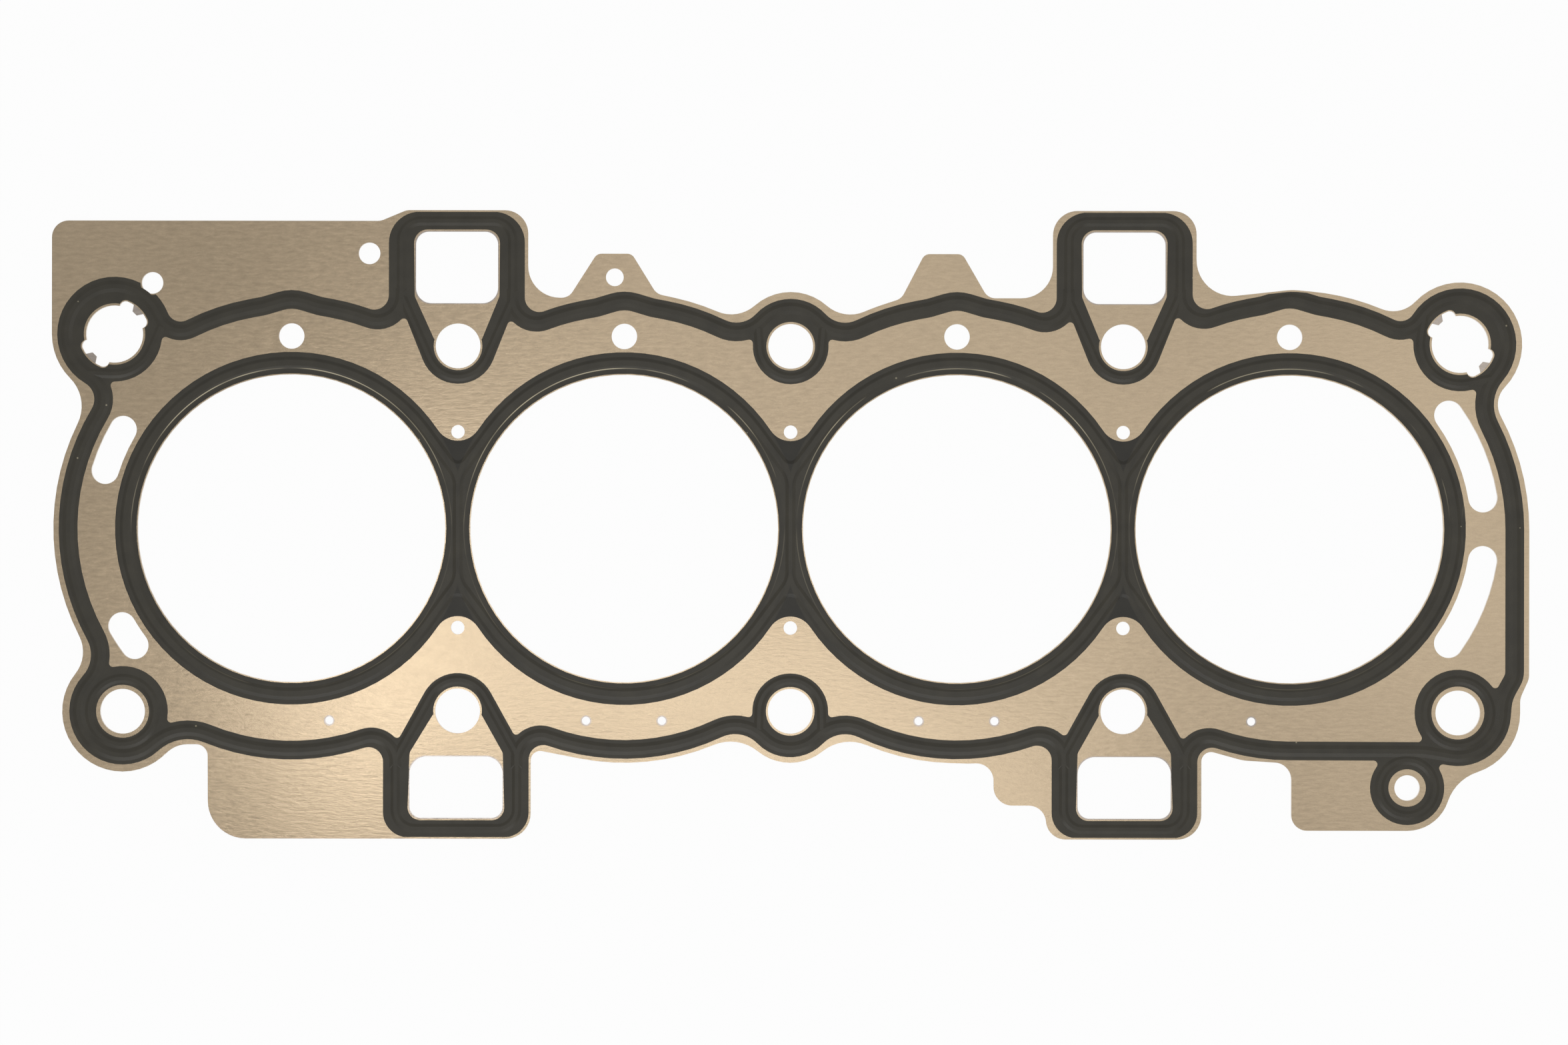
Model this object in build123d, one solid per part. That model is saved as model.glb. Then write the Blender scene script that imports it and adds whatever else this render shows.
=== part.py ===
from build123d import *

import math
import os

# Cylinder head gasket of a four-cylinder engine, in millimetres.
# X runs along the row of bores and Y across it. Z points up to the cylinder head.
# The origin is the middle of the row of bores, at the crest of the lowest bead.

# Stack of sheets
sheet_t = 0.25
spacer_t = 0.50
bead_h = 0.25
film_t = 0.05

# Row of bores
bore_pitch = 86.0
bore_r = 39.8
half_pitch = bore_pitch / 2
end_bore = 1.5 * bore_pitch
end_web = bore_pitch

# Bead and coating around the bores
bore_bead_in_r = 41.25
bore_bead_out_r = 44.4
bore_bead_slope = 0.85
web_bead_half = 1.3
bead_fork_angle = 36.6
bead_fork_in_r = 6.0
bead_fork_out_r = 1.5
bore_coat_in_r = 40.05
bore_coat_out_r = 45.6
coat_fork_angle = 33.9
coat_fork_r = 6.2

# Bolt holes
bolt_row = 47.2
bolt_r = 5.8
end_bolt_x = 2 * bore_pitch + 0.6
end_bolt_y = -bolt_row - 0.2
bolt_coat_r = 6.3
end_bolt_coat_r = 6.85

# Holes for the locating sleeves, each with two relief pockets that hold a gripping tab
left_dowel = (-2 * bore_pitch - 2.8, bolt_row + 2.95)
right_dowel = (2 * bore_pitch + 1.1, bolt_row + 0.75)
left_pockets = (46.0, 225.5)
right_pockets = (132.7, -43.0)
dowel_r = 7.4
dowel_coat_r = 7.95
pocket_r = 9.05
pocket_coat_r = 9.35
pocket_half_angle = 34.0
pocket_corner_r = 1.6
tab_tip = 1.5
tab_base = 3.8

# Bead and coating of the outer seal, and its narrower branches on the inner side of the bolts
seal_foot = 1.5
seal_crest = 0.55
branch_foot = 1.2
branch_crest = 0.45
branch_overlap = 0.3
seal_half = 2.42

# Arcs about each bore that the seal line follows: above, below and beside it
top_arc_r = 57.5
left_top_arc_r = top_arc_r + 0.3
right_top_arc_r = top_arc_r + 0.7
low_arc_r = 57.1
left_low_arc_r = low_arc_r + 0.3
right_low_arc_r = low_arc_r + 0.15
left_side_r = 57.75
right_side_r = 58.25
bump_half = 7.2
bump_h = 1.8

# Arcs of the seal line on the outer side of each bolt, and the edge of the coating on its inner side
mid_top_seal_r = 9.85
mid_low_seal_r = 9.45
mid_branch_r = 8.05
mid_disc_r = 9.8
left_dowel_seal_r = 12.4
left_dowel_disc_r = 12.3
right_dowel_seal_r = 12.05
right_dowel_disc_r = 12.15
dowel_branch_r = 10.3
left_bolt_seal_r = 11.35
left_bolt_disc_r = 11.7
right_bolt_seal_r = 11.3
right_bolt_disc_r = 11.2
end_ring_r = 8.5

# Rounding of the inward corners of the outer coating, and its least distance from the edge of the sheet
coat_fillet = 1.0
coat_clear = 0.45

# Oil return hole with its own ring
return_hole = (2 * bore_pitch - 12.5, -66.8)
return_r = 3.3
return_coat_in_r = 4.85
return_coat_out_r = 9.6
return_ring_r = 7.2

# Window beside each outer web: half widths towards the end and the middle of the row
top_window = dict(out_half=11.15, in_half=10.55, near=58.0, far=77.0, near_r=4.0, far_r=3.3)
low_window = dict(out_half=12.7, in_half=11.9, near=58.7, far=75.15, near_r=4.5, far_r=3.0)
centre_window_step = 0.25

# Centre lines of the band round each window, measured from the web: towards the end and the middle of the row
top_out_x = 14.65
top_in_x = 14.1
low_out_x = 16.1
low_in_x = 15.3
top_far_y = 79.5
low_far_y = 77.6
join_y = 62.0
join_r = 6.2
band_corner_r = 5.0

# The same band where it forks round the bolt: half angle of its legs, inside and at the edge of the coating
top_line_fork = 24.0
low_line_fork = 29.0
top_coat_fork = 21.7
low_coat_fork = 29.0
shoulder_y = 56.0

# Coating round each window: outer edges from the web, far edge, and corners
top_coat = dict(out_x=17.9, in_x=17.25, far=81.9, far_r=8.0)
low_coat = dict(out_x=19.25, in_x=18.4, far=79.9, far_r=6.5)

# Rounding where a window's coating meets the band beside it, and how far from its bore it runs on that band
coat_join_r = 3.8
seal_reach = 18.0

# Round holes: one above each bore, one in each valley, and small ones below the bores
port_y = 49.7
port_r = 3.3
valley_top_y = 25.0
valley_low_y = -25.65
valley_hole_r = 1.75
drip_offset = 9.8
drip_y = -49.7
drip_r = 1.4
drip_step = 0.35
plate_hole_r = 2.8
plate_holes = [(-end_bore - 36.0, 63.4), (-end_bore + 20.1, 71.1)]
plate_hole_clear = 0.3
ear_hole = (-half_pitch - 2.5, 65.0)
ear_hole_r = 2.3

# Curved slots round the end bores: radius, width, and the angles of their end centres
slots = [
    (-end_bore, 50.45, 7.1, 149.7, 162.8),
    (-end_bore, 50.6, 7.2, -149.9, -143.2),
    (end_bore, 50.7, 7.6, 9.4, 35.7),
    (end_bore, 50.6, 7.6, -35.5, -9.1),
]

# Straight edges of the outline
plate_end = 191.0
plate_top = 79.5
lobe_top = 82.3
ear_top = 71.1
lobe_low = -80.25
right_plate_low = -77.9

# Edge of the sheet round the bolts and the ends
mid_top_edge_r = 14.05
mid_low_edge_r = 13.3
left_dowel_edge_r = plate_end + left_dowel[0]
right_dowel_edge_r = 16.0
left_bolt_edge_r = 15.6
right_bolt_edge_r = 16.1
rim = 3.6
top_edge_r = top_arc_r + rim
low_edge_r = low_arc_r + 3.45
waist = top_edge_r - 1.4
left_side_edge_r = left_side_r + 3.8
right_side_edge_r = plate_end - end_bore
return_edge_r = return_hole[1] - right_plate_low


def heading(a, b):
    return math.atan2(b[1] - a[1], b[0] - a[0])


def round_circle(before, circle, after):
    """Corners whose sides touch a circle, for a path that keeps it on the right (side 1) or left."""
    cx, cy, r, side = circle
    start = heading(before, circle) + side * math.asin(r / math.dist(before[:2], (cx, cy)))
    end = heading(circle, after) - side * math.asin(r / math.dist(after[:2], (cx, cy)))
    turn = (side * (start - end)) % (2 * math.pi)
    if turn > math.radians(330) or turn < math.radians(1):
        return []
    count = math.ceil(turn / math.radians(100))
    step = turn / count
    reach = r / math.cos(step / 2)
    corners = []
    for i in range(count):
        a = start + side * (math.pi / 2 - (i + 0.5) * step)
        corners.append((cx + reach * math.cos(a), cy + reach * math.sin(a), r))
    return corners


def resolved(path):
    """Plain corners (x, y, radius) of a path that may also hold circles (x, y, radius, side)."""
    corners = []
    for i, p in enumerate(path):
        if len(p) == 4:
            corners += round_circle(path[i - 1], p, path[(i + 1) % len(path)])
        else:
            corners.append((p[0], p[1], p[2] if len(p) == 3 else 0.0))
    return corners


def moved(corners, grow, closed):
    """The corners after every side has moved to its left by grow, with the radii to match."""
    n = len(corners)
    result = []
    for i, (x, y, r) in enumerate(corners):
        before = corners[i - 1] if closed or i > 0 else None
        after = corners[(i + 1) % n] if closed or i < n - 1 else None
        a = heading(before, (x, y)) if before else heading((x, y), after)
        b = heading((x, y), after) if after else a
        share = grow / (1 + math.cos(b - a))
        if r:
            r = max(r - math.copysign(1, math.sin(b - a)) * grow, 0.1)
        x -= share * (math.sin(a) + math.sin(b))
        y += share * (math.cos(a) + math.cos(b))
        result.append((x, y, r))
    return result


def edges_through(corners, closed):
    """Lines and tangent arcs through the corners."""
    n = len(corners)
    starts, middles, ends = [], [], []
    for i, (x, y, r) in enumerate(corners):
        middle = None
        start = end = (x, y)
        if r and (closed or 0 < i < n - 1):
            before, after = corners[i - 1], corners[(i + 1) % n]
            a, b = heading((x, y), before), heading((x, y), after)
            half = ((b - a) % (2 * math.pi)) / 2
            inward = a + half + (math.pi if half > math.pi / 2 else 0)
            half = min(half, math.pi - half)
            cut = r / math.tan(half)
            reach = r / math.sin(half) - r
            start = (x + cut * math.cos(a), y + cut * math.sin(a))
            end = (x + cut * math.cos(b), y + cut * math.sin(b))
            middle = (x + reach * math.cos(inward), y + reach * math.sin(inward))
        starts.append(start)
        middles.append(middle)
        ends.append(end)
    edges = []
    for i in range(n):
        if middles[i]:
            edges.append(Edge.make_three_point_arc(starts[i], middles[i], ends[i]))
        if closed or i < n - 1:
            following = starts[(i + 1) % n]
            if math.dist(ends[i], following) > 1e-4:
                edges.append(Edge.make_line(ends[i], following))
    return edges


def loop(path, grow=0.0):
    """Closed wire along a clockwise path, moved outwards by grow."""
    return Wire(edges_through(moved(resolved(path), grow, True), True))


def strip(path, half, trim=0.0):
    """Closed wire round a strip that is half wide on each side of an open path."""
    corners = resolved(path)
    a = heading(corners[0], corners[1])
    b = heading(corners[-1], corners[-2])
    corners[0] = (corners[0][0] + trim * math.cos(a), corners[0][1] + trim * math.sin(a), 0.0)
    corners[-1] = (corners[-1][0] + trim * math.cos(b), corners[-1][1] + trim * math.sin(b), 0.0)
    left = moved(corners, half, False)
    right = moved(corners, -half, False)
    caps = [Edge.make_line(left[i][:2], right[i][:2]) for i in (0, -1)]
    return Wire(edges_through(left, False) + caps + edges_through(right, False))


def disc(x, y, r):
    return Pos(x, y) * Face(Wire.make_circle(r))


def ramp(foot, crest):
    """Solid with straight slopes from a wire at the foot up to a wire at the crest."""
    return Solid.make_loft([foot, Pos(0, 0, bead_h) * crest], ruled=True)


def strip_bead(path, foot, crest):
    return ramp(strip(path, foot), strip(path, crest, foot - crest))


def ring_bead(path, foot, crest):
    return ramp(loop(path, foot), loop(path, crest)) - ramp(loop(path, -foot), loop(path, -crest))


def round_bead(x, y, r):
    """Ring bead round a hole."""
    outer = ramp(Wire.make_circle(r + branch_foot), Wire.make_circle(r + branch_crest))
    inner = ramp(Wire.make_circle(r - branch_foot), Wire.make_circle(r - branch_crest))
    return Pos(x, y) * (outer - inner)


def flipped(path):
    """The same closed path on the other end of the gasket, still clockwise."""
    return [(-p[0],) + tuple(p[1:]) for p in reversed(path)]


def chain(r, fork_angle, fork_r):
    """Clockwise path round the whole row: a circle of radius r per bore, joined at the webs."""
    a = math.radians(fork_angle)
    y = (r - half_pitch * math.cos(a)) / math.sin(a)
    left, right = (-half_pitch, 0, r, 1), (half_pitch, 0, r, 1)
    top = [(-end_web, y, fork_r), left, (0, y, fork_r), right, (end_web, y, fork_r)]
    low = [(end_web, -y, fork_r), right, (0, -y, fork_r), left, (-end_web, -y, fork_r)]
    return [(-end_bore, 0, r, 1)] + top + [(end_bore, 0, r, 1)] + low


def bore_line(x):
    """Clockwise path along the inner foot of the bead of one bore, flat beside each web."""
    a = math.radians(bead_fork_angle)
    y = (bore_bead_in_r - (half_pitch - web_bead_half) * math.cos(a)) / math.sin(a)
    left, right = x - half_pitch + web_bead_half, x + half_pitch - web_bead_half
    circle = (x, 0, bore_bead_in_r, 1)
    left_web = [(left, -y, bead_fork_in_r), (left, y, bead_fork_in_r)]
    right_web = [(right, y, bead_fork_in_r), (right, -y, bead_fork_in_r)]
    if x == -end_bore:
        return [circle] + right_web
    if x == end_bore:
        return left_web + [circle]
    return left_web + [circle] + right_web + [circle]


def above(x, dx, r):
    """Point over the row at distance r from the centre of the bore at x, and dx to the right of it."""
    return (x + dx, math.sqrt(r * r - dx * dx))


def rounding(centre, r, towards_a, towards_b):
    """Corner whose rounding of radius r about a centre touches what lies in two directions."""
    ax, ay = math.cos(towards_a), math.sin(towards_a)
    bx, by = math.cos(towards_b), math.sin(towards_b)
    reach = r / (1 + ax * bx + ay * by)
    return (centre[0] + reach * (ax + bx), centre[1] + reach * (ay + by), r)


def neck(a, b, r):
    """Corner with a rounding of radius r that runs from circle a into circle b, outside both."""
    gap = math.dist(a[:2], b[:2])
    along = (gap * gap + (a[2] + r) ** 2 - (b[2] + r) ** 2) / (2 * gap)
    away = math.sqrt((a[2] + r) ** 2 - along * along)
    way = heading(a, b)
    centre = (a[0] + along * math.cos(way) - away * math.sin(way),
              a[1] + along * math.sin(way) + away * math.cos(way))
    return rounding(centre, r, heading(centre, a), heading(centre, b))


def upright(circle, x, r, side):
    """Corner with a rounding of radius r between a circle and an upright line, above or below the row."""
    towards = 1 if x > circle[0] else -1
    dx = x - towards * r - circle[0]
    centre = (circle[0] + dx, side * math.sqrt((circle[2] + r) ** 2 - dx * dx))
    return rounding(centre, r, heading(centre, circle), 0 if towards > 0 else math.pi)


def bump(x, r):
    """The rise of the upper seal line over the hole above a bore, between two arcs about it."""
    foot = r + 0.1
    arc = (x, 0, r, 1)
    return [arc, above(x, -bump_half, foot) + (8,), (x, r + bump_h, 10), above(x, bump_half, foot) + (8,), arc]


# Circles that the seal line runs round
left_top = (-end_bore, 0, left_top_arc_r, 1)
right_top = (end_bore, 0, right_top_arc_r, 1)
left_low = (-end_bore, 0, left_low_arc_r, 1)
right_low = (end_bore, 0, right_low_arc_r, 1)
left_side = (-end_bore, 0, left_side_r, 1)
right_side = (end_bore, 0, right_side_r, 1)
left_inner_top, right_inner_top = [(x, 0, top_arc_r, 1) for x in (-half_pitch, half_pitch)]
left_inner_low, right_inner_low = [(x, 0, low_arc_r, 1) for x in (-half_pitch, half_pitch)]
mid_top = (0, bolt_row, mid_top_seal_r, 1)
mid_low = (0, -bolt_row, mid_low_seal_r, 1)
left_sleeve = left_dowel + (left_dowel_seal_r, 1)
right_sleeve = right_dowel + (right_dowel_seal_r, 1)
left_bolt = (-end_bolt_x, end_bolt_y, left_bolt_seal_r, 1)
right_bolt = (end_bolt_x, end_bolt_y, right_bolt_seal_r, 1)

# Paths of the seal line, clockwise, from window to window
left_end_line = [
    (-end_web - low_out_x, -join_y),
    upright(left_low, -end_web - low_out_x, join_r, -1),
    left_low,
    neck(left_low, left_bolt, 13.6),
    left_bolt,
    neck(left_bolt, left_side, 10.5),
    left_side,
    neck(left_side, left_sleeve, 7.2),
    left_sleeve,
    neck(left_sleeve, left_top, 6.0),
] + bump(-end_bore, left_top_arc_r) + [
    upright(left_top, -end_web - top_out_x, join_r, 1),
    (-end_web - top_out_x, join_y),
]
right_end_line = [
    (end_web + top_out_x, join_y),
    upright(right_top, end_web + top_out_x, join_r, 1),
] + bump(end_bore, right_top_arc_r) + [
    neck(right_top, right_sleeve, 6.3),
    right_sleeve,
    neck(right_sleeve, right_side, 12.0),
    right_side,
    (end_bore + right_side_r, -38.0, 5),
    (end_bolt_x + right_bolt_seal_r + 0.35, end_bolt_y + 4.0, 11),
    right_bolt,
    (end_bolt_x - 9.0, -57.35, 24),
    right_low,
    upright(right_low, end_web + low_out_x, join_r, -1),
    (end_web + low_out_x, -join_y),
]
top_line = [
    (-end_web + top_in_x, join_y),
    upright(left_inner_top, -end_web + top_in_x, join_r, 1),
] + bump(-half_pitch, top_arc_r) + [
    neck(left_inner_top, mid_top, 9.25),
    mid_top,
    neck(mid_top, right_inner_top, 9.25),
] + bump(half_pitch, top_arc_r) + [
    upright(right_inner_top, end_web - top_in_x, join_r, 1),
    (end_web - top_in_x, join_y),
]
low_line = [
    (end_web - low_in_x, -join_y),
    upright(right_inner_low, end_web - low_in_x, join_r, -1),
    right_inner_low,
    neck(right_inner_low, mid_low, 10.5),
    mid_low,
    neck(mid_low, left_inner_low, 10.5),
    left_inner_low,
    upright(left_inner_low, -end_web + low_in_x, join_r, -1),
    (-end_web + low_in_x, -join_y),
]
seal_lines = [left_end_line, right_end_line, top_line, low_line]


def spur(circle, r, angles):
    """Branch that leaves the seal line, passes a bolt at radius r on its inner side, and joins the line again."""
    reach = circle[2] + branch_overlap
    ends = [(circle[0] + reach * math.cos(math.radians(a)),
             circle[1] + reach * math.sin(math.radians(a))) for a in angles]
    return [ends[0], (circle[0], circle[1], r, -1), ends[1]]


# Branches that pass the middle bolts and the sleeves on their inner side
branch_lines = [
    spur(mid_top, mid_branch_r, (147, 33)),
    spur(mid_low, mid_branch_r, (-33, -147)),
    spur(left_sleeve, dowel_branch_r, (232, 12)),
    spur(right_sleeve, dowel_branch_r, (138, -45)),
]


def window_line(side, out_x, in_x, far, fork):
    """Clockwise path round a window and the bolt hole beside it, for the right end of the row."""
    t = math.tan(math.radians(fork))
    tip = bolt_row - mid_branch_r / math.sin(math.radians(fork))
    path = [
        (end_web - in_x, far, band_corner_r),
        (end_web + out_x, far, band_corner_r),
        (end_web + out_x, tip + out_x / t, band_corner_r),
        (end_web, tip, mid_branch_r),
        (end_web - in_x, tip + in_x / t, band_corner_r),
    ]
    return path if side > 0 else [(p[0], -p[1], p[2]) for p in reversed(path)]


top_window_line = window_line(1, top_out_x, top_in_x, top_far_y, top_line_fork)
low_window_line = window_line(-1, low_out_x, low_in_x, low_far_y, low_line_fork)
window_lines = [top_window_line, low_window_line, flipped(top_window_line), flipped(low_window_line)]


def coat_outer(out_r, in_r, coat, fork, side):
    """Clockwise edge of the coating round a window and the bolt beside it, for the right end of the row.

    The band of the seal passes at radius out_r about the end bore and in_r about the inner one.
    """
    tip = bolt_row - mid_disc_r / math.sin(math.radians(fork))
    shoulder = (shoulder_y - tip) * math.tan(math.radians(fork))
    out_left, in_right = end_web + coat["out_x"], end_web - coat["in_x"]
    outer = (end_bore, 0, out_r + seal_half)
    inner = (half_pitch, 0, in_r + seal_half)
    out_x, out_y = above(end_bore, -seal_reach, outer[2])
    in_x, in_y = above(half_pitch, seal_reach, inner[2])
    path = [
        (in_right, coat["far"], coat["far_r"]),
        (out_left, coat["far"], coat["far_r"]),
        upright(outer, out_left, coat_join_r, 1),
        (out_x, out_y),
        (out_x, out_y - seal_half),
        (end_web + shoulder, shoulder_y),
        (end_web, tip, mid_disc_r),
        (end_web - shoulder, shoulder_y),
        (in_x, in_y - seal_half),
        (in_x, in_y),
        upright(inner, in_right, coat_join_r, 1),
    ]
    return path if side > 0 else [(p[0], -p[1]) + tuple(p[2:]) for p in reversed(path)]


# Edges of the coating round the windows
coat_outlines = [
    coat_outer(right_top_arc_r, top_arc_r, top_coat, top_coat_fork, 1),
    coat_outer(right_low_arc_r, low_arc_r, low_coat, low_coat_fork, -1),
    flipped(coat_outer(left_top_arc_r, top_arc_r, top_coat, top_coat_fork, 1)),
    flipped(coat_outer(left_low_arc_r, low_arc_r, low_coat, low_coat_fork, -1)),
]
top_coat_inner = [
    (end_web - 10.85, 77.3, 3.6),
    (end_web + 11.45, 77.3, 3.6),
    (end_web + 11.2, 60.0, 2),
    (end_web + 6.2, 49.0),
    (end_web - 6.2, 49.0),
    (end_web - 10.7, 60.0, 2),
]
low_coat_inner = [
    (end_web - 6.2, -48.2),
    (end_web + 6.4, -48.2),
    (end_web + 12.4, -58.0, 2),
    (end_web + 13.0, -75.45, 3.3),
    (end_web - 12.2, -75.45, 3.3),
    (end_web - 11.7, -58.0, 2),
]

# Circles that the outline runs round
edge_left_top, edge_right_top = [(x, 0, top_edge_r, 1) for x in (-half_pitch, half_pitch)]
edge_left_low, edge_right_low = [(x, 0, low_edge_r, 1) for x in (-half_pitch, half_pitch)]
edge_end_top = (end_bore, 0, right_top_arc_r + rim, 1)
edge_mid_top = (0, bolt_row, mid_top_edge_r, 1)
edge_mid_low = (0, -bolt_row, mid_low_edge_r, 1)
edge_left_sleeve = left_dowel + (left_dowel_edge_r, 1)
edge_right_sleeve = right_dowel + (right_dowel_edge_r, 1)
edge_left_bolt = (-end_bolt_x, end_bolt_y, left_bolt_edge_r, 1)
edge_right_bolt = (end_bolt_x, end_bolt_y, right_bolt_edge_r, 1)
edge_left_side = (-end_bore, 0, left_side_edge_r, 1)
edge_right_side = (end_bore, 0, right_side_edge_r, 1)
edge_return = return_hole + (return_edge_r, 1)

# Outline of the sheets, clockwise from the upper left corner
outline = [
    (-plate_end, plate_top, 4.3),
    (-end_web - 20.0, plate_top, 4),
    (-end_web - 13.3, lobe_top, 4),
    (-end_web + 18.1, lobe_top, 6),
    (-end_web + 18.1, waist, 8.2),
    (-half_pitch - 14.4, waist, 3.3),
    (-half_pitch - 7.1, ear_top, 2.2),
    (-half_pitch + 1.9, ear_top, 2.2),
    above(-half_pitch, 8.3, top_edge_r + 0.2) + (3.5,),
    edge_left_top,
    neck(edge_left_top, edge_mid_top, 9.2),
    edge_mid_top,
    neck(edge_mid_top, edge_right_top, 9.2),
    edge_right_top,
    above(half_pitch, -14.4, top_edge_r + 0.2) + (3.5,),
    (half_pitch - 8.4, ear_top, 2.2),
    (half_pitch + 1.4, ear_top, 2.2),
    (half_pitch + 8.0, waist, 3.3),
    (end_web - 18.2, waist, 8.2),
    (end_web - 18.2, lobe_top, 6.3),
    (end_web + 18.9, lobe_top, 6),
    (end_web + 18.9, top_edge_r - 1.8, 9.3),
    above(end_bore, 0.6, edge_end_top[2] + 0.2) + (15,),
    edge_end_top,
    neck(edge_end_top, edge_right_sleeve, 8.0),
    edge_right_sleeve,
    neck(edge_right_sleeve, edge_right_side, 6.4),
    edge_right_side,
    (plate_end, -38.5, 4),
    (end_bolt_x + right_bolt_edge_r, end_bolt_y + 3.8, 5),
    edge_right_bolt,
    neck(edge_right_bolt, edge_return, 12.0),
    edge_return,
    (end_bore + 0.6, right_plate_low, 4),
    (end_bore + 0.6, -low_edge_r, 4.5),
    (end_bore - 12.0, -low_edge_r + 0.8, 12),
    (end_web + 20.3, -56.8, 2.5),
    (end_web + 20.3, lobe_low, 6.3),
    (end_web - 19.4, lobe_low, 5),
    (end_web - 20.2, -71.5, 4.5),
    (half_pitch + 9.6, -71.5, 4.8),
    (half_pitch + 9.6, -low_edge_r + 0.1, 4.5),
    (half_pitch + 3.0, -low_edge_r - 0.1, 3),
    edge_right_low,
    neck(edge_right_low, edge_mid_low, 11.2),
    edge_mid_low,
    neck(edge_mid_low, edge_left_low, 11.2),
    edge_left_low,
    (-end_web + 18.9, -57.0, 2.5),
    (-end_web + 18.9, lobe_low, 6.5),
    (-end_bore - 21.5, lobe_low, 9.8),
    (-end_bore - 21.6, -55.9, 3),
    (-end_bolt_x + 13.3, -55.9, 7.9),
    edge_left_bolt,
    neck(edge_left_bolt, edge_left_side, 9.0),
    edge_left_side,
    neck(edge_left_side, edge_left_sleeve, 10.2),
    edge_left_sleeve,
]


def fused(shapes):
    result = shapes[0]
    for shape in shapes[1:]:
        result = result + shape
    return result


def window_face(window, side, flip, step):
    near, far = window["near"] + step, window["far"] - step
    path = [
        (end_web - window["in_half"] + step, far, window["far_r"]),
        (end_web + window["out_half"] - step, far, window["far_r"]),
        (end_web + window["out_half"] - step, near, window["near_r"]),
        (end_web - window["in_half"] + step, near, window["near_r"]),
    ]
    if side < 0:
        path = [(p[0], -p[1], p[2]) for p in reversed(path)]
    return Face(loop(flipped(path) if flip else path))


def windows(step):
    return [window_face(w, side, flip, step) for w, side in ((top_window, 1), (low_window, -1))
            for flip in (False, True)]


def slot_face(x, r, width, start, end):
    arc = Edge.make_circle(r, start_angle=start, end_angle=end)
    return Pos(x, 0) * SlotArc(Wire([arc]), width)


def pocket(centre, angle, r):
    """Relief pocket of a sleeve hole, reaching out to r in one direction, with rounded corners."""
    reach = r + 3
    half = math.radians(pocket_half_angle)
    wedge = Face(Wire.make_polygon([
        (0, 0), (reach * math.cos(half), -reach * math.sin(half)),
        (reach * math.cos(half), reach * math.sin(half))]))
    sector = (wedge & Face(Wire.make_circle(r))).face()
    corners = sector.vertices().sort_by_distance((0, 0))[1:]
    return Pos(*centre) * Rot(0, 0, angle) * sector.fillet_2d(pocket_corner_r, corners)


def tab(centre, angle):
    """Tab that reaches through a pocket to grip the sleeve."""
    face = Face(Wire.make_polygon([
        (dowel_r, -tab_tip / 2), (pocket_r + 0.1, -tab_base / 2),
        (pocket_r + 0.1, tab_base / 2), (dowel_r, tab_tip / 2)]))
    return Pos(*centre) * Rot(0, 0, angle) * face


sleeves = [(left_dowel, left_pockets), (right_dowel, right_pockets)]
bore_xs = [(i - 1.5) * bore_pitch for i in range(4)]
inner_bolts = [(i * bore_pitch, side * bolt_row) for i in (-1, 0, 1) for side in (1, -1)]
end_bolts = [(-end_bolt_x, end_bolt_y), (end_bolt_x, end_bolt_y)]


def sheet_face(window_step, small_step, with_tabs):
    """Outline of a sheet with all its holes."""
    cuts = [disc(x, 0, bore_r) for x in bore_xs]
    cuts += [disc(x, y, bolt_r) for x, y in inner_bolts + end_bolts]
    cuts += [disc(x, port_y, port_r) for x in bore_xs]
    cuts += [disc(x, y, valley_hole_r) for x in (-end_web, 0, end_web) for y in (valley_top_y, valley_low_y)]
    drips = [x + side * drip_offset for x in bore_xs for side in (-1, 1)][1:-1]
    cuts += [disc(x, drip_y, drip_r - small_step) for x in drips]
    cuts += [disc(x, y, plate_hole_r) for x, y in plate_holes]
    cuts += [disc(*ear_hole, ear_hole_r), disc(*return_hole, return_r)]
    cuts += windows(window_step)
    cuts += [slot_face(*slot) for slot in slots]
    for centre, angles in sleeves:
        cuts.append(disc(*centre, dowel_r))
        for a in angles:
            cut = pocket(centre, a, pocket_r)
            cuts.append(cut - tab(centre, a) if with_tabs else cut)
    return Face(loop(outline)) - cuts


def softened(face, r):
    """The face with its inward corners rounded to radius r."""
    corners = []
    for vertex in face.vertices():
        point = Vector(*vertex)
        ways = []
        for edge in face.edges():
            for end, sign in ((0, 1), (1, -1)):
                if (edge.position_at(end) - point).length < 1e-4:
                    ways.append(edge.tangent_at(end) * sign)
        bisector = ways[0] + ways[1]
        if bisector.length > 0.3 and not face.is_inside(point + bisector * 0.01):
            corners.append(vertex)
    return face.fillet_2d(r, corners)


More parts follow.
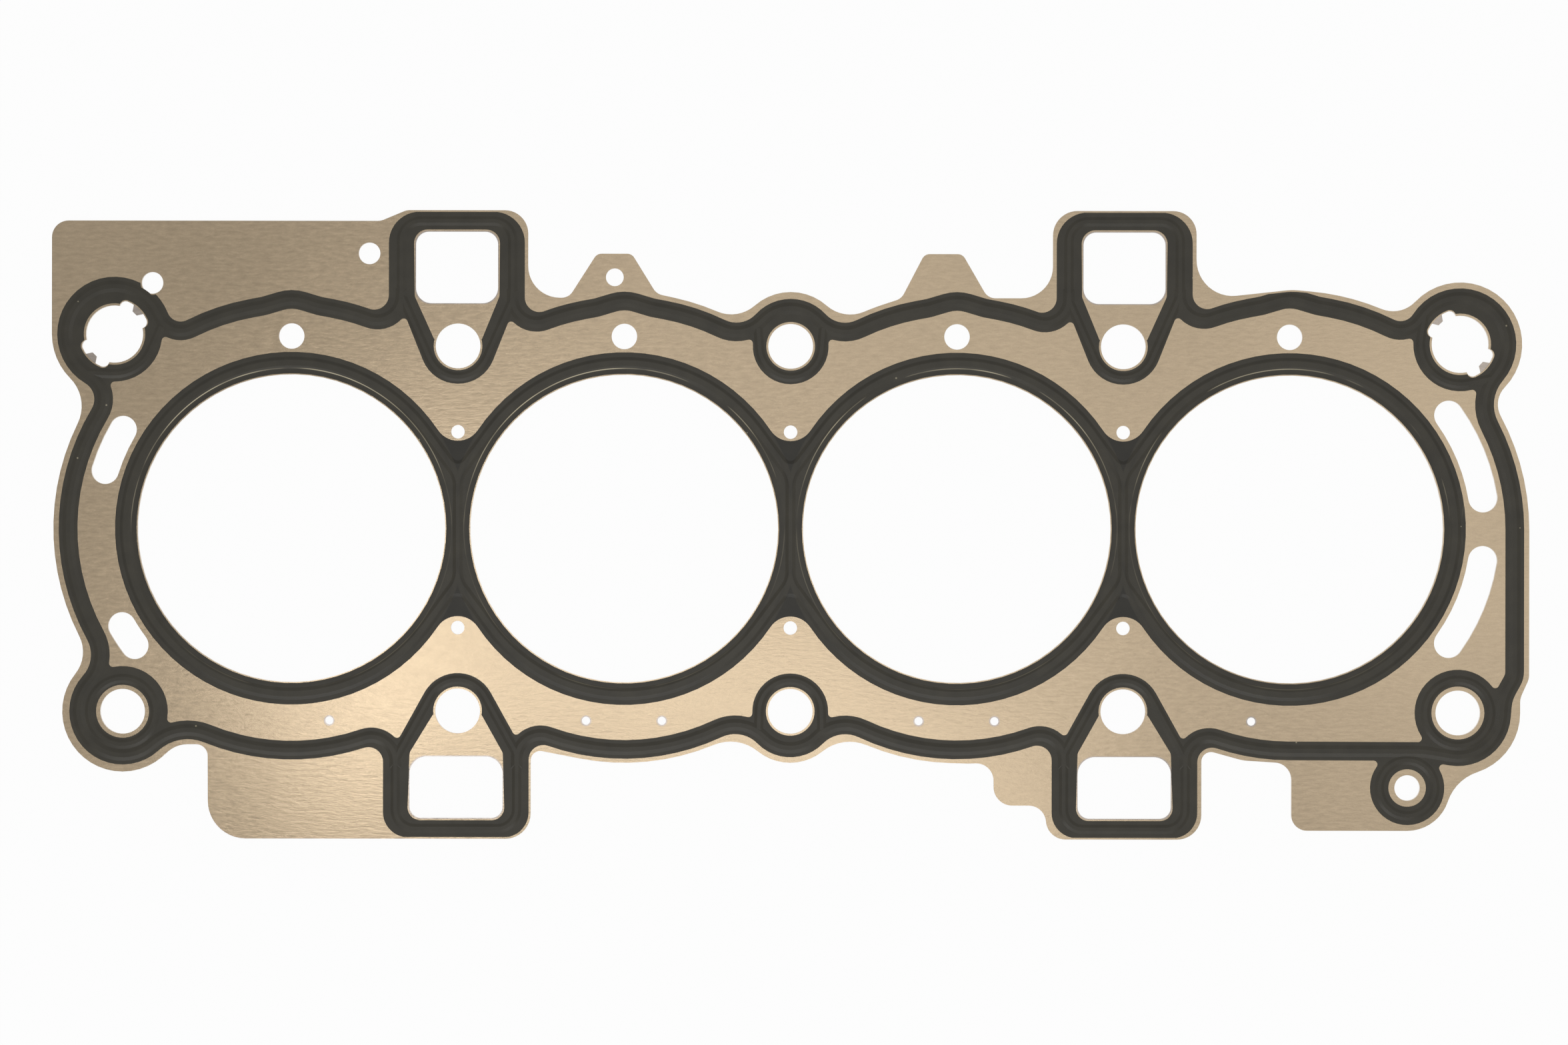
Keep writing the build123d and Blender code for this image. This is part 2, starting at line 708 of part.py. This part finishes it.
def seal_region():
    """Area printed with the outer seal."""
    parts = [Face(strip(line, seal_half)) for line in seal_lines]
    parts += [Face(loop(outer)) for outer in coat_outlines]
    parts += [disc(x, y, mid_disc_r) for x, y in inner_bolts]
    parts += [disc(*left_dowel, left_dowel_disc_r), disc(*right_dowel, right_dowel_disc_r)]
    parts += [disc(*end_bolts[0], left_bolt_disc_r), disc(*end_bolts[1], right_bolt_disc_r)]
    parts.append(disc(*return_hole, return_coat_out_r))
    cuts = []
    for inner in (top_coat_inner, low_coat_inner):
        cuts += [Face(loop(inner)), Face(loop(flipped(inner)))]
    cuts += [disc(x, y, bolt_coat_r) for x, y in inner_bolts]
    cuts += [disc(x, y, end_bolt_coat_r) for x, y in end_bolts]
    cuts.append(disc(*return_hole, return_coat_in_r))
    cuts.append(disc(*plate_holes[0], plate_hole_r + plate_hole_clear))
    for centre, angles in sleeves:
        cuts.append(disc(*centre, dowel_coat_r))
        cuts += [pocket(centre, a, pocket_coat_r) for a in angles]
    # Only faces that look the same way merge into one
    parts = [part if part.normal_at().Z > 0 else -part for part in parts]
    printed = parts[0].fuse(*parts[1:]).clean().face()
    inset = Face(loop(outline, -coat_clear))
    return (softened(printed, coat_fillet) & inset) - cuts


def bore_region():
    """Area printed around the bores."""
    whole = Face(loop(chain(bore_coat_out_r, coat_fork_angle, coat_fork_r)))
    return whole - [disc(x, 0, bore_coat_in_r) for x in bore_xs]


def bore_bead():
    """Bead round every bore, shared in the webs."""
    outline_path = chain(bore_bead_out_r, bead_fork_angle, bead_fork_out_r)
    bead = ramp(loop(outline_path), loop(outline_path, -bore_bead_slope))
    for x in bore_xs:
        bead = bead - ramp(loop(bore_line(x)), loop(bore_line(x), bore_bead_slope))
    return bead


def seal_bead():
    """Bead of the outer seal with its branches and rings."""
    beads = [strip_bead(line, seal_foot, seal_crest) for line in seal_lines]
    beads += [strip_bead(line, branch_foot, branch_crest) for line in branch_lines]
    beads += [ring_bead(line, branch_foot, branch_crest) for line in window_lines]
    beads += [round_bead(x, y, end_ring_r) for x, y in end_bolts]
    beads.append(round_bead(*return_hole, return_ring_r))
    return fused(beads)


def pressed(face, thickness, beads):
    """Sheet or film of even thickness that rises over the beads."""
    layer = extrude(face, thickness, dir=(0, 0, 1))
    for bead in beads:
        layer = layer + Pos(0, 0, thickness) * bead - bead
    return layer


spacer_z = film_t + bead_h + sheet_t
upper_z = spacer_z + spacer_t
mid_plane = Plane.XY.offset(spacer_z + spacer_t / 2)

bores = bore_bead()
seals = seal_bead()
nodes = {
    "upper_layer": Pos(0, 0, upper_z) * pressed(sheet_face(0, 0, False), sheet_t, [bores, seals]),
    "upper_bore_coating": Pos(0, 0, upper_z + sheet_t) * pressed(bore_region(), film_t, [bores]),
    "upper_seal_coating": Pos(0, 0, upper_z + sheet_t) * pressed(seal_region(), film_t, [seals]),
}
for name in list(nodes):
    nodes[name.replace("upper", "lower")] = mirror(nodes[name], about=mid_plane)
centre = sheet_face(centre_window_step, drip_step, True)
nodes["centre_layer"] = Pos(0, 0, spacer_z) * extrude(centre, spacer_t, dir=(0, 0, 1))

os.makedirs("parts", exist_ok=True)
for name, shape in nodes.items():
    export_step(shape.solid(), f"parts/{name}.step")
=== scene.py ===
"""Looks of a cylinder head gasket: three steel sheets with a printed rubber seal, lying on a pale table."""

import math

import bpy
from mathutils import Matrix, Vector

bl_info = {
    "name": "Cylinder Head Gasket",
    "version": (1, 0, 0),
    "blender": (4, 5, 0),
    "location": "View3D > Sidebar > Gasket",
    "description": "Materials and stage for a multi-layer steel cylinder head gasket",
    "category": "Object",
}

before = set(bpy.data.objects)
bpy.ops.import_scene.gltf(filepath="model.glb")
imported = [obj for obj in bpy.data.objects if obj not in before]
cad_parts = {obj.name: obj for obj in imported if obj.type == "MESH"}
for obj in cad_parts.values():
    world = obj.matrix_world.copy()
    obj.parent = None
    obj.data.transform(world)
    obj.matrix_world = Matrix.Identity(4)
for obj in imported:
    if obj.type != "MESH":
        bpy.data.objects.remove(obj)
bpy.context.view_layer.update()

SHEETS = ("upper_layer", "lower_layer")
SPACERS = ("centre_layer",)
BORE_FILMS = ("upper_bore_coating", "lower_bore_coating")
SEAL_FILMS = ("upper_seal_coating", "lower_seal_coating")

# Bands of the film round a bore, in metres from its centre, each with its painted shade
BORE_PITCH = 0.086
BAND_IN = 0.0400
BAND_OUT = 0.0460
# The bead's light and shade are painted here: shaded lip and outer slope, lit crest, and a dark line at the
# outer edge
PAINTED_BEAD_SHADING = (
    (0.0400, 0.78),
    (0.0410, 0.92),
    (0.0414, 1.0),
    (0.0422, 1.05),
    (0.0435, 1.02),
    (0.0440, 0.84),
    (0.0446, 0.98),
    (0.0453, 0.95),
    (0.0456, 0.55),
)

# Radius of the painted glint, a thin bright line on the bead, and how much brighter than the rubber it and
# a speck are
PAINTED_GLINT_R = 0.04145
PAINTED_GLINT_GAIN = 15.0
SPECK_GAIN = 6.0

# Lamps: name, place across the table, drop below the lamp height, width and depth, radiance
LAMPS = (
    ("Key lamp", (-0.055, -0.115), 0.0, (0.49, 0.13), 1.5),
    ("Corner lamp", (-0.272, -0.12), 0.0, (0.11, 0.08), 3.7),
    ("Fill lamp", (0.10, 0.12), 0.0, (0.62, 0.34), 0.28),
    ("Side lamp", (0.62, 0.0), 0.0, (0.5, 0.6), 0.33),
    ("Rim lamp", (-0.1, -0.85), 0.2, (1.3, 0.08), 6.0),
)

# Half width of the table, how much of its white is its own light, and where the camera stands over the part
TABLE_HALF = 3.0
TABLE_GLOW = 0.96
CAMERA_XY = (-0.00167, 0.00164)
CAMERA_TURN = 0.00134


class SheetSettings(bpy.types.PropertyGroup):
    """Finish of the steel sheets."""

    steel_colour: bpy.props.FloatVectorProperty(
        name="Steel colour", description="Colour of the satin rolled steel", subtype="COLOR",
        size=3, min=0.0, max=1.0, default=(0.62, 0.49, 0.335))
    spacer_colour: bpy.props.FloatVectorProperty(
        name="Spacer colour", description="Colour of the thicker sheet in the middle", subtype="COLOR",
        size=3, min=0.0, max=1.0, default=(0.56, 0.49, 0.43))
    grain_depth: bpy.props.FloatProperty(
        name="Grain depth", description="Depth of the rolling grain", unit="LENGTH", subtype="DISTANCE",
        min=0.0, default=0.00002, precision=6)
    steel_roughness: bpy.props.FloatProperty(
        name="Steel roughness", description="How far the steel spreads a reflection", min=0.0, max=1.0,
        default=0.19)


class FilmSettings(bpy.types.PropertyGroup):
    """Finish of the printed seal."""

    film_colour: bpy.props.FloatVectorProperty(
        name="Film colour", description="Colour of the printed rubber", subtype="COLOR", size=3,
        min=0.0, max=1.0, default=(0.051, 0.045, 0.031))
    film_roughness: bpy.props.FloatProperty(
        name="Film roughness", description="How dull the rubber is", min=0.0, max=1.0, default=0.33)


class StageSettings(bpy.types.PropertyGroup):
    """Table, lamps and camera."""

    camera_height: bpy.props.FloatProperty(
        name="Camera height", description="Height of the camera above the table", unit="LENGTH",
        min=0.2, default=0.95)
    view_width: bpy.props.FloatProperty(
        name="View width", description="Width of table that the camera sees", unit="LENGTH",
        min=0.1, default=0.4059)
    lamp_height: bpy.props.FloatProperty(
        name="Lamp height", description="Height of the lamps above the table", unit="LENGTH",
        min=0.3, default=1.4)
    sky_strength: bpy.props.FloatProperty(
        name="Sky strength", description="Even light from all around", min=0.0, default=0.47)


def new_group(name, inputs, outputs):
    """Empty shader node group with the named inputs (name, kind, default) and outputs (name, kind)."""
    group = bpy.data.node_groups.new(name, "ShaderNodeTree")
    for label, kind, value in inputs:
        socket = group.interface.new_socket(name=label, in_out="INPUT", socket_type=kind)
        if value is not None:
            socket.default_value = value
    for label, kind in outputs:
        group.interface.new_socket(name=label, in_out="OUTPUT", socket_type=kind)
    return group, group.nodes.new("NodeGroupInput"), group.nodes.new("NodeGroupOutput")


def node(tree, kind, links=(), **settings):
    """Adds a node, sets its properties, and links or sets its inputs by name or index."""
    made = tree.nodes.new(kind)
    for key, value in settings.items():
        setattr(made, key, value)
    for key, value in dict(links).items():
        if isinstance(value, bpy.types.NodeSocket):
            tree.links.new(value, made.inputs[key])
        else:
            made.inputs[key].default_value = value
    return made


def math_node(tree, operation, *values):
    """Adds a math node on sockets or numbers, and returns its output."""
    made = tree.nodes.new("ShaderNodeMath")
    made.operation = operation
    for i, value in enumerate(values):
        if isinstance(value, bpy.types.NodeSocket):
            tree.links.new(value, made.inputs[i])
        else:
            made.inputs[i].default_value = value
    return made.outputs[0]


def noise(tree, place, scale, detail=2.0, roughness=0.5):
    """Adds a noise texture, and returns its grey output."""
    made = node(tree, "ShaderNodeTexNoise", {"Vector": place, "Scale": scale, "Detail": detail,
                                             "Roughness": roughness})
    return made.outputs["Fac"]


def spread(tree, value, low, high):
    """Maps the middle of a noise to the range from low to high."""
    made = node(tree, "ShaderNodeMapRange", {"Value": value, "From Min": 0.3, "From Max": 0.7,
                                             "To Min": low, "To Max": high})
    return made.outputs[0]


def tinted(tree, colour, shade, shader):
    """Feeds the base colour with a colour made lighter and darker by a shade."""
    tone = node(tree, "ShaderNodeVectorMath", {0: tuple(colour), "Scale": shade}, operation="SCALE")
    tree.links.new(tone.outputs[0], shader.inputs["Base Color"])


def grain_group():
    """Rolling grain: short wavy lines along the sheet, and fine flecks between them."""
    group, given, out = new_group(
        "Rolled Grain",
        [("Position", "NodeSocketVector", None)],
        [("Height", "NodeSocketFloat"), ("Fleck", "NodeSocketFloat"), ("Cloud", "NodeSocketFloat")])
    place = given.outputs["Position"]
    wave = node(group, "ShaderNodeTexNoise", {"Vector": place, "Scale": 170.0, "Detail": 2.0})
    bent = node(group, "ShaderNodeVectorMath", {0: wave.outputs["Color"], 1: (0.0012, 0.0014, 0.0)},
                operation="MULTIPLY")
    moved = node(group, "ShaderNodeVectorMath", {0: place, 1: bent.outputs[0]}, operation="ADD")
    stretched = node(group, "ShaderNodeMapping", {"Vector": moved.outputs[0],
                                                  "Scale": (330.0, 1200.0, 1.0)})
    lines = noise(group, stretched.outputs[0], 1.0, 4.0, 0.65)
    group.links.new(lines, out.inputs["Height"])
    group.links.new(noise(group, place, 3600.0), out.inputs["Fleck"])
    group.links.new(noise(group, place, 17.0, 3.0), out.inputs["Cloud"])
    return group


def speck_group():
    """Sparse pale specks: the middles of a few of the cells of a Voronoi pattern."""
    group, given, out = new_group(
        "Sparse Specks",
        [("Position", "NodeSocketVector", None), ("Cells", "NodeSocketFloat", 260.0),
         ("Radius", "NodeSocketFloat", 0.06), ("Share", "NodeSocketFloat", 0.12)],
        [("Mask", "NodeSocketFloat")])
    cells = node(group, "ShaderNodeTexVoronoi", {"Vector": given.outputs["Position"],
                                                 "Scale": given.outputs["Cells"]})
    near = math_node(group, "LESS_THAN", cells.outputs["Distance"], given.outputs["Radius"])
    drawn = node(group, "ShaderNodeSeparateColor", {"Color": cells.outputs["Color"]})
    chosen = math_node(group, "LESS_THAN", drawn.outputs[0], given.outputs["Share"])
    group.links.new(math_node(group, "MULTIPLY", near, chosen), out.inputs["Mask"])
    return group


def steel_material(name, colour, look, grain):
    """Satin steel: metallic, with wavy grain in the normal and faint changes of tint and roughness."""
    made = bpy.data.materials.new(name)
    made.use_nodes = True
    tree = made.node_tree
    shader = tree.nodes["Principled BSDF"]
    place = node(tree, "ShaderNodeTexCoord").outputs["Object"]
    rolled = node(tree, "ShaderNodeGroup", {}, node_tree=grain)
    tree.links.new(place, rolled.inputs["Position"])
    clouds = spread(tree, rolled.outputs["Cloud"], 0.96, 1.04)
    flecks = spread(tree, rolled.outputs["Fleck"], 0.97, 1.03)
    lines = spread(tree, rolled.outputs["Height"], 0.91, 1.09)
    shade = math_node(tree, "MULTIPLY", math_node(tree, "MULTIPLY", clouds, flecks), lines)
    tinted(tree, colour, shade, shader)
    rough = spread(tree, rolled.outputs["Height"], look.steel_roughness - 0.03, look.steel_roughness + 0.03)
    tree.links.new(rough, shader.inputs["Roughness"])
    bump = node(tree, "ShaderNodeBump", {"Height": rolled.outputs["Height"], "Strength": 1.0,
                                         "Distance": look.grain_depth})
    tree.links.new(bump.outputs[0], shader.inputs["Normal"])
    shader.inputs["Metallic"].default_value = 1.0
    return made


def bore_group():
    """Painted shade and highlight of the rubber by distance from the nearest bore: shaded lip, painted
    glint line, lit bead crest, shaded outer slope, dark edge.
    """
    group, given, out = new_group(
        "Bore Painted Shading",
        [("Position", "NodeSocketVector", None)],
        [("Shade", "NodeSocketFloat"), ("Line", "NodeSocketFloat")])
    split = node(group, "ShaderNodeSeparateXYZ", {0: given.outputs["Position"]})
    shifted = math_node(group, "ADD", split.outputs["X"], 2 * BORE_PITCH)
    within = math_node(group, "SUBTRACT", math_node(group, "MODULO", shifted, BORE_PITCH), BORE_PITCH / 2)
    flat = node(group, "ShaderNodeCombineXYZ", {"X": within, "Y": split.outputs["Y"], "Z": 0.0})
    radius = node(group, "ShaderNodeVectorMath", {0: flat.outputs[0]}, operation="LENGTH").outputs["Value"]
    along = node(group, "ShaderNodeMapRange", {"Value": radius, "From Min": BAND_IN, "From Max": BAND_OUT})
    ramp = node(group, "ShaderNodeValToRGB", {"Fac": along.outputs[0]})
    stops = ramp.color_ramp.elements
    for _ in range(len(PAINTED_BEAD_SHADING) - 2):
        stops.new(0.5)
    for stop, (place, shade) in zip(stops, PAINTED_BEAD_SHADING):
        stop.position = (place - BAND_IN) / (BAND_OUT - BAND_IN)
        stop.color = (shade, shade, shade, 1.0)
    shade = node(group, "ShaderNodeSeparateColor", {"Color": ramp.outputs["Color"]}).outputs[0]
    # Painted glint: a thin bright line on the bead's inner slope, kept mostly to the upper half of each
    # bore and broken by noise
    gap = math_node(group, "ABSOLUTE", math_node(group, "SUBTRACT", radius, PAINTED_GLINT_R))
    thin = node(group, "ShaderNodeMapRange", {"Value": gap, "From Min": 0.00003, "From Max": 0.00016,
                                              "To Min": 1.0, "To Max": 0.0}).outputs[0]
    upper = node(group, "ShaderNodeMapRange", {"Value": split.outputs["Y"], "From Min": 0.0,
                                               "From Max": 0.032, "To Min": 0.15}).outputs[0]
    broken = node(group, "ShaderNodeMapRange", {"Value": noise(group, given.outputs["Position"], 45.0, 3.0),
                                                "From Min": 0.42, "From Max": 0.62}).outputs[0]
    group.links.new(shade, out.inputs["Shade"])
    group.links.new(math_node(group, "MULTIPLY", math_node(group, "MULTIPLY", thin, upper), broken),
                    out.inputs["Line"])
    return group


def film_material(name, look, specks, painted_shading_group=None):
    """Printed rubber: dark and dull, with faint clouds, fine pores, a few pale specks of dust, and round
    the bores painted bead shade and glint.
    """
    made = bpy.data.materials.new(name)
    made.use_nodes = True
    tree = made.node_tree
    shader = tree.nodes["Principled BSDF"]
    place = node(tree, "ShaderNodeTexCoord").outputs["Object"]
    dust = node(tree, "ShaderNodeGroup", {}, node_tree=specks)
    tree.links.new(place, dust.inputs["Position"])
    shade = spread(tree, noise(tree, place, 240.0, 4.0), 0.88, 1.12)
    # Round the bores the colour also carries the painted shade and highlight of the bead and its painted
    # glint
    if painted_shading_group:
        painted_shading = node(tree, "ShaderNodeGroup", {}, node_tree=painted_shading_group)
        tree.links.new(place, painted_shading.inputs["Position"])
        shade = math_node(tree, "MULTIPLY", shade, painted_shading.outputs["Shade"])
        shade = math_node(tree, "MULTIPLY_ADD", painted_shading.outputs["Line"], PAINTED_GLINT_GAIN, shade)
    shade = math_node(tree, "MULTIPLY_ADD", dust.outputs["Mask"], SPECK_GAIN, shade)
    tinted(tree, look.film_colour, shade, shader)
    bump = node(tree, "ShaderNodeBump", {"Height": noise(tree, place, 3000.0), "Strength": 1.0,
                                         "Distance": 0.000004})
    tree.links.new(bump.outputs[0], shader.inputs["Normal"])
    shader.inputs["Roughness"].default_value = look.film_roughness
    return made


def dress(names, material):
    """Gives the named sheets or films their material."""
    for name in names:
        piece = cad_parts[name]
        piece.data.materials.clear()
        piece.data.materials.append(material)


class GASKET_OT_sheets(bpy.types.Operator):
    """Gives the three steel sheets their rolled finish"""

    bl_idname = "gasket.sheets"
    bl_label = "Steel sheets"

    def execute(self, context):
        look = context.scene.gasket_sheets
        grain = grain_group()
        dress(SHEETS, steel_material("Spring steel", look.steel_colour, look, grain))
        dress(SPACERS, steel_material("Centre steel", look.spacer_colour, look, grain))
        return {"FINISHED"}


class GASKET_OT_films(bpy.types.Operator):
    """Gives the printed seals their rubber finish"""

    bl_idname = "gasket.films"
    bl_label = "Printed seals"

    def execute(self, context):
        look = context.scene.gasket_films
        specks = speck_group()
        dress(BORE_FILMS, film_material("Bore coating", look, specks, bore_group()))
        dress(SEAL_FILMS, film_material("Seal coating", look, specks))
        return {"FINISHED"}


def lamp(name, place, size, radiance):
    """Rectangular lamp that looks at the middle of the gasket and shines with an even radiance."""
    data = bpy.data.lights.new(name, "AREA")
    data.shape = "RECTANGLE"
    data.size, data.size_y = size
    data.energy = radiance * math.pi * size[0] * size[1]
    made = bpy.data.objects.new(name, data)
    bpy.context.scene.collection.objects.link(made)
    made.location = place
    made.rotation_euler = (-Vector(place)).to_track_quat("-Z", "Y").to_euler()


def table_material():
    """Pale table that the camera and the steel see as white, while it still takes a faint shadow."""
    made = bpy.data.materials.new("Table")
    made.use_nodes = True
    tree = made.node_tree
    paint = tree.nodes["Principled BSDF"]
    paint.inputs["Base Color"].default_value = (0.9, 0.9, 0.9, 1)
    paint.inputs["Roughness"].default_value = 0.9
    rays = node(tree, "ShaderNodeLightPath").outputs
    seen = math_node(tree, "MAXIMUM", rays["Is Camera Ray"],
                     math_node(tree, "MAXIMUM", rays["Is Glossy Ray"], rays["Is Transmission Ray"]))
    white = node(tree, "ShaderNodeEmission", {"Color": (1, 1, 1, 1), "Strength": 1.0})
    mixed = node(tree, "ShaderNodeMixShader", {0: math_node(tree, "MULTIPLY", seen, TABLE_GLOW),
                                               1: paint.outputs[0], 2: white.outputs[0]})
    tree.links.new(mixed.outputs[0], tree.nodes["Material Output"].inputs["Surface"])
    return made


class GASKET_OT_stage(bpy.types.Operator):
    """Lays out the table, the lamps and the camera"""

    bl_idname = "gasket.stage"
    bl_label = "Stage"

    def execute(self, context):
        look = context.scene.gasket_stage
        mesh = bpy.data.meshes.new("table")
        corners = [(x * TABLE_HALF, y * TABLE_HALF, 0) for x, y in ((-1, -1), (1, -1), (1, 1), (-1, 1))]
        mesh.from_pydata(corners, [], [(0, 1, 2, 3)])
        mesh.materials.append(table_material())
        table = bpy.data.objects.new("table", mesh)
        context.scene.collection.objects.link(table)

        world = bpy.data.worlds.new("Studio")
        world.use_nodes = True
        sky = world.node_tree.nodes["Background"]
        sky.inputs["Color"].default_value = (1, 1, 1, 1)
        sky.inputs["Strength"].default_value = look.sky_strength
        context.scene.world = world
        for name, place, drop, size, radiance in LAMPS:
            lamp(name, (*place, look.lamp_height - drop), size, radiance)

        data = bpy.data.cameras.new("Camera")
        data.sensor_width = 36.0
        data.lens = data.sensor_width * look.camera_height / look.view_width
        data.clip_start, data.clip_end = 0.01, 10.0
        camera = bpy.data.objects.new("Camera", data)
        context.scene.collection.objects.link(camera)
        camera.location = (*CAMERA_XY, look.camera_height)
        camera.rotation_euler = (0, 0, CAMERA_TURN)
        context.scene.camera = camera
        context.scene.view_settings.view_transform = "Standard"
        return {"FINISHED"}


class GASKET_PT_panel(bpy.types.Panel):
    """Sizes and colours of the gasket"""

    bl_label = "Gasket"
    bl_idname = "GASKET_PT_panel"
    bl_space_type = "VIEW_3D"
    bl_region_type = "UI"
    bl_category = "Gasket"

    def draw(self, context):
        layout = self.layout
        for settings, operator in STEPS:
            block = getattr(context.scene, settings)
            for name in block.__annotations__:
                layout.prop(block, name)
            layout.operator(operator.bl_idname)


# Settings and operators in the order in which they run
STEPS = (
    ("gasket_sheets", GASKET_OT_sheets),
    ("gasket_films", GASKET_OT_films),
    ("gasket_stage", GASKET_OT_stage),
)
SETTINGS = {
    "gasket_sheets": SheetSettings,
    "gasket_films": FilmSettings,
    "gasket_stage": StageSettings,
}


def register():
    for name, settings in SETTINGS.items():
        bpy.utils.register_class(settings)
        setattr(bpy.types.Scene, name, bpy.props.PointerProperty(type=settings))
    for _, operator in STEPS:
        bpy.utils.register_class(operator)
    bpy.utils.register_class(GASKET_PT_panel)


def unregister():
    bpy.utils.unregister_class(GASKET_PT_panel)
    for _, operator in reversed(STEPS):
        bpy.utils.unregister_class(operator)
    for name, settings in SETTINGS.items():
        delattr(bpy.types.Scene, name)
        bpy.utils.unregister_class(settings)


def main():
    register()
    bpy.ops.gasket.sheets()
    bpy.ops.gasket.films()
    bpy.ops.gasket.stage()


if __name__ == "__main__":
    main()
